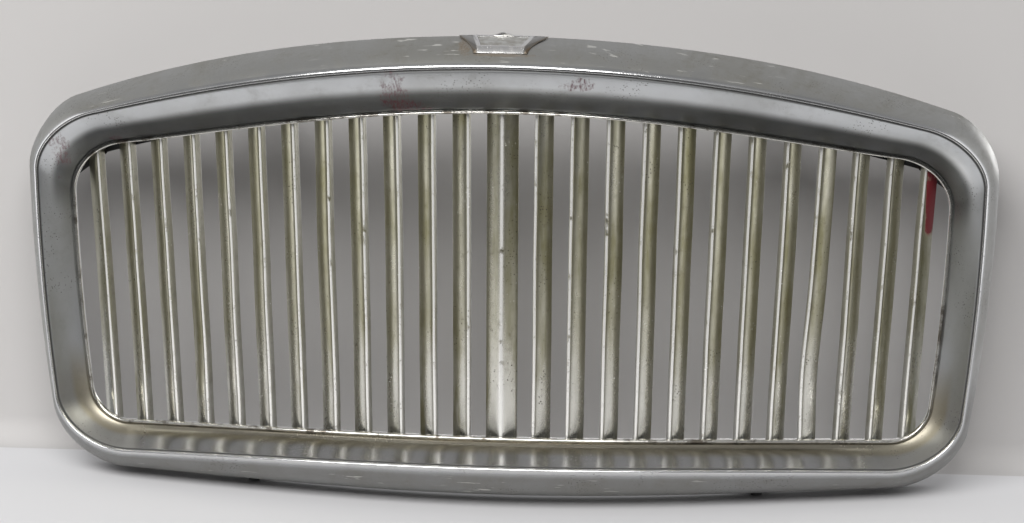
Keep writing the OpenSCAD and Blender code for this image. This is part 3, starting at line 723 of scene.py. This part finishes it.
# ---------------------------------------------------------------- vanes
def strip_blank(name, section, rings):
    """A closed strip of unit length along Z from a section in millimetres."""
    count = len(section)
    points = [(p[0] * MM, p[1] * MM, i / rings) for i in range(rings + 1) for p in section]
    faces = [
        (i * count + j, i * count + (j + 1) % count, (i + 1) * count + (j + 1) % count, (i + 1) * count + j)
        for i in range(rings)
        for j in range(count)
    ]
    faces.append(tuple(range(count))[::-1])
    faces.append(tuple(rings * count + j for j in range(count)))
    blank = hidden_blank(name, points, faces)
    # this attribute carries painted light: above 0 a painted shade, below 0 a painted highlight
    dirt = blank.data.attributes.new("dirt", "FLOAT", "POINT")
    dirt.data.foreach_set("value", [p[2] for p in section] * (rings + 1))
    return blank


# section points: outwards, back, and the state: 1 where the section is painted darker, a painted shade on its
# inner side, crease and rear edges, -1 where it is painted bright, a painted highlight along the front
VANE_OUTER = [(0, 0, 1), (0, -7.4, 0.8), (0.1, -8.4, 0), (0.45, -9.1, -1), (1.2, -9.25, -1), (1.95, -9.0, -1)]
VANE_CREASE = [(2.35, -8.55, 0.7), (2.7, -8.3, 0.9), (3.1, -8.3, 0.4)]
VANE_FLANK = [(4.2, -7.9, 0), (7, -6.2, 0.05), (10, -3.9, 0.2), (12.7, -1.5, 0.5)]
VANE_EDGE = [(13.0, -1.1, 0.6), (12.9, -0.8, 1), (12.4, -0.6, 1)]
VANE_INNER = [(9.4, -2.95, 1), (6.5, -5.25, 1), (3.6, -7.0, 1), (1.5, -7.9, 1), (0.9, -7.5, 1), (0.9, 0, 1)]


def vane_tree(sizes):
    """Stands the vanes side by side along the bow, each leaning with its distance from the middle."""
    tree, given = geometry_tree("vane_row", sizes)
    row = tree.add("GeometryNodeMeshLine", {"mode": "OFFSET"}, {"Count": given.other("Vanes")})
    order = tree.add("GeometryNodeInputIndex")
    x = given.other("First vane") + order * given.other("Pitch")
    blend = given.other("Bow blend")
    root = tree.math("SQRT", x * x + blend * blend)
    bowed = given.other("Bow slope") * (root - blend)
    turn = tree.math("ARCTANGENT", given.other("Bow slope") * x / root)
    lean = tree.math("ARCTANGENT", given.other("Fan") * x / tree.math("COSINE", turn))
    mid = given.other("Mid height")
    reach = given.other("Arch reach")

    def rail_height(height, fall, nearer):
        share = x * nearer / reach
        return (given.other(height) - given.other(fall) * share * share - mid) / tree.math("COSINE", lean)

    top = rail_height("Upper rail", "Upper fall", 1.02)
    foot = rail_height("Lower rail", "Lower fall", 0.98)
    depth = bowed + given.other("Back depth") - given.other("Set back")

    def up_the_vane(height):
        across = tree.math("SINE", lean) * height
        east = x + across * tree.math("COSINE", turn)
        north = depth + across * tree.math("SINE", turn)
        return tree.xyz(east, north, mid + tree.math("COSINE", lean) * height)

    angles = tree.xyz(0.0, lean, turn)

    def stand(blank, height, stretch):
        """Places one blank on every vane's line at a height, stretched along its length."""
        points = tree.add("GeometryNodeSetPosition", None, {"Geometry": row, "Position": up_the_vane(height)})
        shape = tree.add("GeometryNodeObjectInfo", None, {"Object": given.other(blank)}, "Geometry")
        inputs = {"Points": points, "Instance": shape, "Rotation": angles}
        inputs["Scale"] = tree.xyz(1.0, 1.0, stretch)
        return tree.add("GeometryNodeInstanceOnPoints", None, inputs)

    over_top, over_foot = 6 * MM, 5 * MM
    low_end = foot - over_foot
    bodies = stand("Vane", low_end, top + over_top - low_end)
    knocked = tree.math("COMPARE", order, given.other("Knocked vane") - 1, 0.1)
    twist = tree.xyz(0.0, 0.0, given.other("Knocked turn"))
    inputs = {"Instances": bodies, "Selection": knocked, "Rotation": twist}
    bodies = tree.add("GeometryNodeRotateInstances", None, inputs)
    kept = {"data_type": "FLOAT", "domain": "INSTANCE"}
    inputs = {"Geometry": bodies, "Name": "vane", "Value": order}
    bodies = tree.add("GeometryNodeStoreNamedAttribute", kept, inputs)
    tabs = [stand("Tab", height, 1.0) for height in (top, foot)]
    real = tree.add("GeometryNodeRealizeInstances", None, {"Geometry": bodies})

    # the thin strips are no longer quite straight
    place_now = tree.add("GeometryNodeInputPosition")
    number = tree.add("GeometryNodeInputNamedAttribute", {"data_type": "FLOAT"}, {"Name": "vane"})
    _, _, pz = tree.parts(place_now)
    wander = tree.noise(tree.xyz(number * 3.7 + given.other("Seed"), pz * 9.0, 0.0), 1.0, 1.0)
    dip = tree.noise(tree.xyz(number * 5.3 + given.other("Seed"), pz * 8.0, 7.0), 1.0, 1.0)
    this_one = tree.math("COMPARE", number, given.other("Knocked vane") - 1, 0.1)
    height_share = (pz + 60 * MM) / (52 * MM)
    kink = tree.math("EXPONENT", -(height_share * height_share)) * this_one * given.other("Knock")
    sway = (wander - 0.5) * given.other("Wander")
    shift = tree.xyz(sway - kink, (dip - 0.5) * given.other("Wander") * 0.6, 0.0)
    moved = tree.add("GeometryNodeSetPosition", None, {"Geometry": real, "Offset": shift})

    joined = tree.tree.nodes.new("GeometryNodeJoinGeometry")
    for piece in [moved, *tabs]:
        tree.tree.links.new(piece.socket, joined.inputs[0])
    side = given.other("Side")
    inputs = {"Geometry": Value(tree, joined.outputs[0]), "Scale": tree.xyz(side, 1.0, 1.0)}
    mirrored = tree.add("GeometryNodeTransform", None, inputs)
    other_hand = tree.math("LESS_THAN", side, 0.0)
    faced = tree.add("GeometryNodeFlipFaces", None, {"Mesh": mirrored, "Selection": other_hand})
    finish_tree(tree, faced, given.other("Metal"))
    return tree


def make_vanes():
    section = smooth_profile(VANE_OUTER + VANE_CREASE + VANE_FLANK + VANE_EDGE + VANE_INNER, 2)
    blank = strip_blank("vane_blank", section, 40)
    tab_section = [(0, -0.5, 1), (0.9, -0.5, 1), (0.9, 3.7, 1), (0, 3.7, 1)]
    tab = strip_blank("tab_blank", tab_section, 1)
    tab_height = 8 * MM
    centred = Matrix.Translation((0, 0, -tab_height / 2))
    tab.data.transform(centred @ Matrix.Diagonal((1, 1, tab_height, 1)))
    shared = [
        ("Vane", "Object", blank),
        ("Tab", "Object", tab),
        ("Vanes", "Int", VANES_A_SIDE),
        ("First vane", "Float", FIRST_VANE),
        ("Pitch", "Float", VANE_PITCH),
        ("Fan", "Float", VANE_FAN),
        ("Bow slope", "Float", BOW_SLOPE),
        ("Bow blend", "Float", BOW_BLEND),
        ("Set back", "Float", SET_BACK),
        ("Back depth", "Float", RAIL_FRONT - RAIL_GAP),
        ("Mid height", "Float", VANE_MID),
        ("Arch reach", "Float", ARCH_REACH),
        ("Upper rail", "Float", UPPER_RAIL),
        ("Upper fall", "Float", UPPER_FALL),
        ("Lower rail", "Float", LOWER_RAIL),
        ("Lower fall", "Float", LOWER_FALL),
        ("Knocked turn", "Float", KNOCKED_TURN),
        ("Knock", "Float", 3.0 * MM),
        ("Wander", "Float", 1.6 * MM),
        ("Metal", "Material", metal_of_vanes),
    ]
    tree = None
    for side, name, seed in ((1.0, "right", 11.0), (-1.0, "left", 47.0)):
        knocked = KNOCKED_VANE if side > 0 else 0
        own = [("Side", "Float", side), ("Seed", "Float", seed), ("Knocked vane", "Int", knocked)]
        sizes = shared + own
        tree = tree or vane_tree(sizes)
        vanes = grown("vanes_" + name, plain_mesh("start", [], []), tree, sizes)
        shade(vanes, 50)
        settle(vanes, "vane_metal", *[f"vane_{name}_{i + 1:02d}" for i in range(VANES_A_SIDE)])


make_vanes()

# the third number is the same state as on the vanes: above 0 a painted shade, below 0 a painted highlight
BAR_NOSE = [(0, -9.3, -1), (0.8, -9.2, -1), (1.4, -8.9, -0.3)]
BAR_FLANK = [(3, -8.0, 0), (6, -5.95, 0), (9, -3.9, 0), (10.5, -2.8, 0.4)]
BAR_EDGE = [(11, -2.2, 0.8), (11, -0.2, 1), (10.9, 0, 1), (10.1, 0, 1)]
BAR_INNER = [(10.1, -1.8, 1), (6, -4.9, 1), (2, -7.6, 1)]


def make_centre_bar():
    """The wide folded strip in the middle, with a plate at each end for its screw."""
    right = BAR_NOSE[1:] + BAR_FLANK + BAR_EDGE + BAR_INNER
    left = [(-x, y, dirt) for x, y, dirt in right[::-1]]
    section = smooth_profile(BAR_NOSE[:1] + right + [(0, -8.2, 1)] + left, 2)
    low, high = (corner.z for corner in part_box("centre_bar"))
    bar = strip_blank("centre_bar_strip", section, 40)
    blanks.remove(bar)
    back = RAIL_FRONT - RAIL_GAP - SET_BACK
    bar.data.transform(Matrix.Translation((0, back, low)) @ Matrix.Diagonal((1, 1, high - low, 1)))
    work = bmesh.new()
    work.from_mesh(bar.data)
    for height in (UPPER_RAIL, LOWER_RAIL):
        plate = bmesh.ops.create_cube(work, size=1.0)["verts"]
        bmesh.ops.scale(work, vec=(21 * MM, 1.2 * MM, 10 * MM), verts=plate)
        bmesh.ops.translate(work, vec=(0, back - 0.6 * MM, height), verts=plate)
    work.to_mesh(bar.data)
    work.free()
    bar.name = "centre_bar_strip"
    bar.data.materials.append(metal_of_vanes)
    outward(bar)
    shade(bar, 50)
    settle(bar, "vane_metal", "centre_bar")


make_centre_bar()


# ---------------------------------------------------------------- brackets, rails and badge
def eased(name, width, segments, material, slot):
    """A copy of a CAD node with its sharp edges rounded over."""
    work = bmesh.new()
    work.from_mesh(nodes[name].data)
    bmesh.ops.remove_doubles(work, verts=work.verts, dist=0.005 * MM)
    bmesh.ops.dissolve_limit(work, angle_limit=math.radians(1.5), verts=work.verts, edges=work.edges)
    mesh = bpy.data.meshes.new(name + "_eased")
    work.to_mesh(mesh)
    work.free()
    made = new_object(name + "_eased", mesh)
    mesh.materials.append(material)
    bevel = made.modifiers.new("edges", "BEVEL")
    bevel.width = width
    bevel.segments = segments
    bevel.limit_method = "ANGLE"
    bevel.angle_limit = math.radians(35)
    bevel.use_clamp_overlap = True
    bpy.context.view_layer.update()
    result = made.evaluated_get(bpy.context.evaluated_depsgraph_get())
    made.data = bpy.data.meshes.new_from_object(result)
    made.modifiers.remove(bevel)
    shade(made, 40)
    return settle(made, slot, name)


SIDES = ("left", "right")
for part in ("end_bracket_upper", "end_bracket_lower", "mount_bracket_upper", "mount_bracket_lower"):
    for hand in SIDES:
        eased(f"{part}_{hand}", 0.3 * MM, 2, paint_black, "black_paint")
eased("badge_plinth", 0.45 * MM, 3, metal_of_badge, "badge_metal")


# ---------------------------------------------------------------- fasteners
def solids_of(node):
    """Centre, axis and length of each separate solid in a node of fasteners."""
    work = bmesh.new()
    work.from_mesh(nodes[node].data)
    bmesh.ops.remove_doubles(work, verts=work.verts, dist=0.002 * MM)
    found = []
    left = set(work.verts)
    while left:
        stack = [next(iter(left))]
        island = set()
        while stack:
            vert = stack.pop()
            if vert not in island:
                island.add(vert)
                stack += [edge.other_vert(vert) for edge in vert.link_edges]
        left -= island
        areas = {}
        for face in {f for v in island for f in v.link_faces}:
            key = tuple(round(c, 2) + 0.0 for c in face.normal)
            areas[key] = areas.get(key, 0) + face.calc_area()
        axis = Vector(max(sorted(areas), key=areas.get)).normalized()
        along = [v.co.dot(axis) for v in island]
        middle = sum((v.co for v in island), Vector()) / len(island)
        low, high = min(along), max(along)
        found.append((middle + axis * ((low + high) / 2 - middle.dot(axis)), axis, high - low))
    work.free()
    return sorted(found, key=lambda solid: [round(c, 6) for c in solid[0]])


def turned_blank(name, profile, sides=28):
    """A closed turned shape from (radius, height) points in millimetres, from pole to pole."""
    points, faces = [], []
    rings = []
    for radius, height in profile:
        if radius < 1e-6:
            rings.append([len(points)])
            points.append((0, 0, height * MM))
        else:
            turns = [2 * math.pi * k / sides for k in range(sides)]
            rings.append(list(range(len(points), len(points) + sides)))
            points += [(radius * MM * math.cos(a), radius * MM * math.sin(a), height * MM) for a in turns]
    for low, high in zip(rings, rings[1:]):
        for k in range(sides):
            corners = [low[k % len(low)], low[(k + 1) % len(low)]]
            corners += [high[(k + 1) % len(high)], high[k % len(high)]]
            faces.append(tuple(dict.fromkeys(corners)))
    return hidden_blank(name, points, faces)


def fastener_tree(sizes):
    """Stands a turned blank on each point, along the point's axis."""
    tree, given = geometry_tree("fasteners_on_points", sizes)
    axis = tree.add("GeometryNodeInputNamedAttribute", {"data_type": "FLOAT_VECTOR"}, {"Name": "axis"})
    length = tree.add("GeometryNodeInputNamedAttribute", {"data_type": "FLOAT"}, {"Name": "length"})
    turn = tree.add("FunctionNodeAlignRotationToVector", {"axis": "Z"}, {"Vector": axis})
    points = tree.add("GeometryNodeMeshToPoints", None, {"Mesh": given.other("Geometry")})
    shape = tree.add("GeometryNodeObjectInfo", None, {"Object": given.other("Blank")}, "Geometry")
    stretch = tree.xyz(1.0, 1.0, length / given.other("Blank length"))
    inputs = {"Points": points, "Instance": shape, "Rotation": turn, "Scale": stretch}
    placed = tree.add("GeometryNodeInstanceOnPoints", None, inputs)
    finish_tree(tree, placed, given.other("Metal"))
    return tree


def make_fasteners(node, blank, blank_length, material, slot, hint):
    """Finer fasteners where a CAD node has plain ones, with their heads towards the hint."""
    found = [(c, a if a.dot(hint) > 0 else -a, l) for c, a, l in solids_of(node)]
    attributes = {
        "axis": ("FLOAT_VECTOR", [a for _, a, _ in found]),
        "length": ("FLOAT", [l for _, _, l in found]),
    }
    sizes = [
        ("Blank", "Object", blank),
        ("Blank length", "Float", blank_length * MM),
        ("Metal", "Material", material),
    ]
    source = point_mesh(node, [c for c, _, _ in found], attributes)
    made = grown(node + "_turned", source, fastener_tree(sizes), sizes)
    shade(made, 35)
    settle(made, slot, node)


def rivet_profile(grip):
    """A tubular pop rivet: domed head, shank and rolled tail, centred on its length."""
    half = grip / 2 + 1.0
    head = [(0, half - 0.35), (0.7, half - 0.35), (0.85, half)]
    head += [(1.6, half - 0.15), (2.5, half - 0.6), (2.8, half - 1)]
    shank = [(1.5, half - 1), (1.5, 1 - half)]
    tail = [(2.3, 1 - half), (2.6, 0.7 - half), (2.2, 0.1 - half), (1.2, -half), (0, -half)]
    return (head + shank + tail)[::-1]


GRIPS = {"rail_rivets": 3.3, "end_rivets": 3.2, "upper_bracket_rivets": 3.8}
for node, grip in GRIPS.items():
    rivet = turned_blank(node + "_blank", rivet_profile(grip))
    make_fasteners(node, rivet, grip + 2, steel_plated, "plated_steel", Vector((0, 1, 0.5)))


# ---------------------------------------------------------------- studio
def floor_material():
    material, tree, shader = new_material("pale_studio_floor")
    here = place(tree)
    _, y, _ = tree.parts(here)
    # darker towards the viewer, so that the bottom of the surround has something dark to mirror
    far_front = tree.between(y, -300 * MM, -480 * MM)
    wash = tree.noise(here, 2.0, 3.0, 0.5)
    colour = tree.mix(wash * 0.5, (0.64, 0.635, 0.64), (0.58, 0.575, 0.585))
    tree.feed(shader.inputs["Base Color"], tree.mix(far_front, colour, (0.06, 0.06, 0.06)))
    shader.inputs["Roughness"].default_value = 0.9
    return material


def wall_material():
    """A pale backdrop that is seen only from its front."""
    material, tree, shader = new_material("pale_backdrop")
    shader.inputs["Base Color"].default_value = (0.515, 0.5, 0.49, 1)
    shader.inputs["Roughness"].default_value = 0.95
    behind = tree.add("ShaderNodeNewGeometry", output="Backfacing")
    clear = tree.add("ShaderNodeBsdfTransparent")
    solid = Value(tree, shader.outputs[0])
    mixed = tree.add("ShaderNodeMixShader", None, {0: behind, 1: solid, 2: clear})
    tree.feed(material.node_tree.nodes["Material Output"].inputs["Surface"], mixed)
    return material


def make_stage():
    ground = cad_box[0].z - 0.4 * MM
    wide = 3.0
    corners = [(-wide, -wide, ground), (wide, -wide, ground), (wide, wide, ground), (-wide, wide, ground)]
    floor = new_object("floor", plain_mesh("floor", corners, [(0, 1, 2, 3)]))
    floor.data.materials.append(floor_material())
    # the backdrop's foot behind the grille, its bend, its lean, and how far it reaches
    foot, bend, lean = 0.03, 0.02, math.radians(2)
    half_width, height = 0.9, 1.2
    turns = np.linspace(0, math.pi / 2 - lean, 14)
    path = [(foot + bend * (math.sin(a) - 1), ground + bend - bend * math.cos(a)) for a in turns]
    y, z = path[-1]
    path.append((y + height * math.sin(lean), z + height * math.cos(lean)))
    points = [(side, y, z) for y, z in path for side in (-half_width, half_width)]
    faces = [(2 * i, 2 * i + 1, 2 * i + 3, 2 * i + 2) for i in range(len(path) - 1)]
    wall = new_object("backdrop", plain_mesh("backdrop", points, faces))
    wall.data.polygons.foreach_set("use_smooth", [True] * len(faces))
    wall.data.materials.append(wall_material())
    wall.visible_diffuse = False
    wall.visible_glossy = False
    wall.visible_shadow = False


def area_light(name, place_at, aim, size, power, colour=(1.0, 1.0, 1.0)):
    light = bpy.data.lights.new(name, "AREA")
    light.shape = "RECTANGLE"
    light.size, light.size_y = size
    light.energy = power
    light.color = colour
    lamp = new_object(name, light)
    lamp.location = place_at
    lamp.visible_camera = False
    lamp.rotation_mode = "QUATERNION"
    lamp.rotation_quaternion = (Vector(aim) - Vector(place_at)).to_track_quat("-Z", "Y")


def set_world():
    """Soft studio surround: brighter behind, dim low at the front where a viewer would stand."""
    world = bpy.data.worlds.new("studio")
    bpy.context.scene.world = world
    world.use_nodes = True
    tree = Tree(world.node_tree)
    _, y, z = tree.parts(tree.add("ShaderNodeTexCoord", output="Generated"))
    front = tree.between(y, 0.2, -0.6)
    low = tree.between(z, 0.6, 0.2)
    behind = tree.between(y, 0.1, 0.6)
    level = 0.42 + behind * 0.22 - front * low * 0.38
    tree.feed(world.node_tree.nodes["Background"].inputs["Color"], tree.xyz(level, level, level * 1.02))
    world.node_tree.nodes["Background"].inputs["Strength"].default_value = 0.75


make_stage()
set_world()
bpy.context.scene.view_settings.view_transform = "Standard"
area_light("key", (-0.3, -1.5, 1.35), (0.0, -0.05, 0.0), (1.7, 1.0), 47)
area_light("rear_fill", (0.4, 1.5, 0.02), (0.0, 0.0, 0.06), (1.4, 0.28), 5)
area_light("left_panel", (-0.85, -0.05, 0.2), (0.0, -0.1, 0.1), (0.5, 0.7), 1.0)
area_light("right_panel", (0.85, -0.05, 0.2), (0.0, -0.1, 0.1), (0.5, 0.7), 0.8)


# ---------------------------------------------------------------- finish
CAD_FINISH = {
    "badge_panel": paint_of_panel,
    "badge_push_nuts": steel_plated,
    "centre_bar_screws": steel_plated,
    "lower_bracket_washers": steel_plated,
    "lower_bracket_nuts": steel_plated,
}
for name, node in nodes.items():
    if not node.hide_render:
        node.data.materials.clear()
        node.data.materials.append(CAD_FINISH.get(name, paint_black))

for blank in blanks:
    bpy.data.objects.remove(blank)
